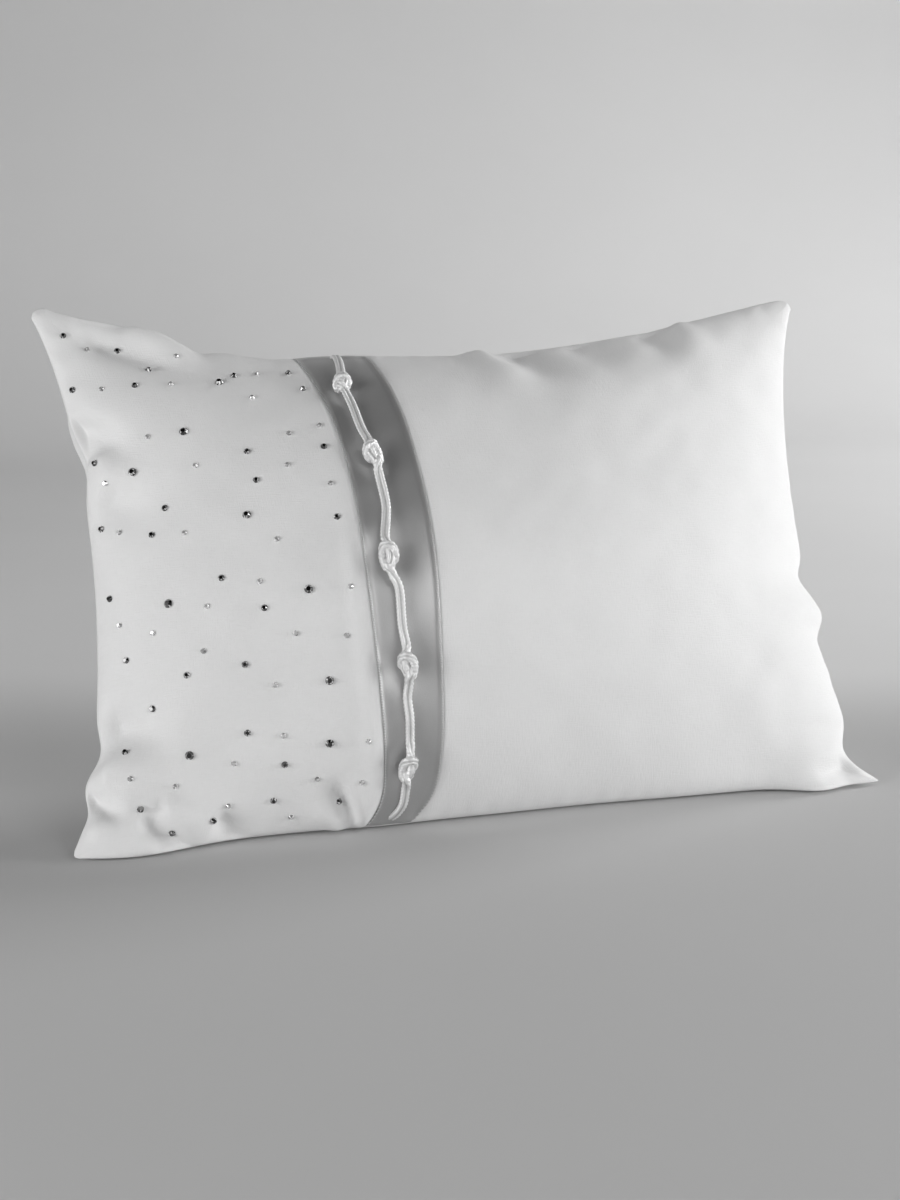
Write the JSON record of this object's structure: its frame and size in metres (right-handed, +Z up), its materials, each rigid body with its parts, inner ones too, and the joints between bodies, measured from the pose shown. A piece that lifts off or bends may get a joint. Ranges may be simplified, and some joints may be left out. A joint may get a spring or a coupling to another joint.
{
  "type": "ring bearer pillow",
  "caption": "Small plump oblong satin cushion standing on its long edge, with a grey ribbon and a knotted braid down its front and a scatter of stones beside them.",
  "frame": {"origin": "on the ground, under the middle of the pillow's width and depth", "axes": "+X along the pillow's length, to the right as seen from the decorated front; the front faces -Y; +Z up, with the pillow standing on its long edge and leaning back towards +Y"},
  "size_m": [0.305, 0.1075, 0.1809],
  "materials": {
    "white_satin": "satin",
    "filling": "matte",
    "grey_satin": "satin",
    "white_braid": "satin",
    "dark_crystal": "gloss"
  },
  "bodies": {
    "root": {"front_panel": "white_satin", "back_panel": "white_satin", "filling": "filling", "ribbon": "grey_satin", "braid_run_1": "white_braid", "braid_run_2": "white_braid", "braid_run_3": "white_braid", "braid_run_4": "white_braid", "braid_run_5": "white_braid", "braid_run_6": "white_braid", "braid_knot_1": "white_braid", "braid_knot_2": "white_braid", "braid_knot_3": "white_braid", "braid_knot_4": "white_braid", "braid_knot_5": "white_braid", "stone_01": "dark_crystal", "stone_02": "dark_crystal", "stone_03": "dark_crystal", "stone_04": "dark_crystal", "stone_05": "dark_crystal", "stone_06": "dark_crystal", "stone_07": "dark_crystal", "stone_08": "dark_crystal", "stone_09": "dark_crystal", "stone_10": "dark_crystal", "stone_11": "dark_crystal", "stone_12": "dark_crystal", "stone_13": "dark_crystal", "stone_14": "dark_crystal", "stone_15": "dark_crystal", "stone_16": "dark_crystal", "stone_17": "dark_crystal", "stone_18": "dark_crystal", "stone_19": "dark_crystal", "stone_20": "dark_crystal", "stone_21": "dark_crystal", "stone_22": "dark_crystal", "stone_23": "dark_crystal", "stone_24": "dark_crystal", "stone_25": "dark_crystal", "stone_26": "dark_crystal", "stone_27": "dark_crystal", "stone_28": "dark_crystal", "stone_29": "dark_crystal", "stone_30": "dark_crystal", "stone_31": "dark_crystal", "stone_32": "dark_crystal", "stone_33": "dark_crystal", "stone_34": "dark_crystal", "stone_35": "dark_crystal", "stone_36": "dark_crystal", "stone_37": "dark_crystal", "stone_38": "dark_crystal", "stone_39": "dark_crystal", "stone_40": "dark_crystal"}
  },
  "joints": []
}
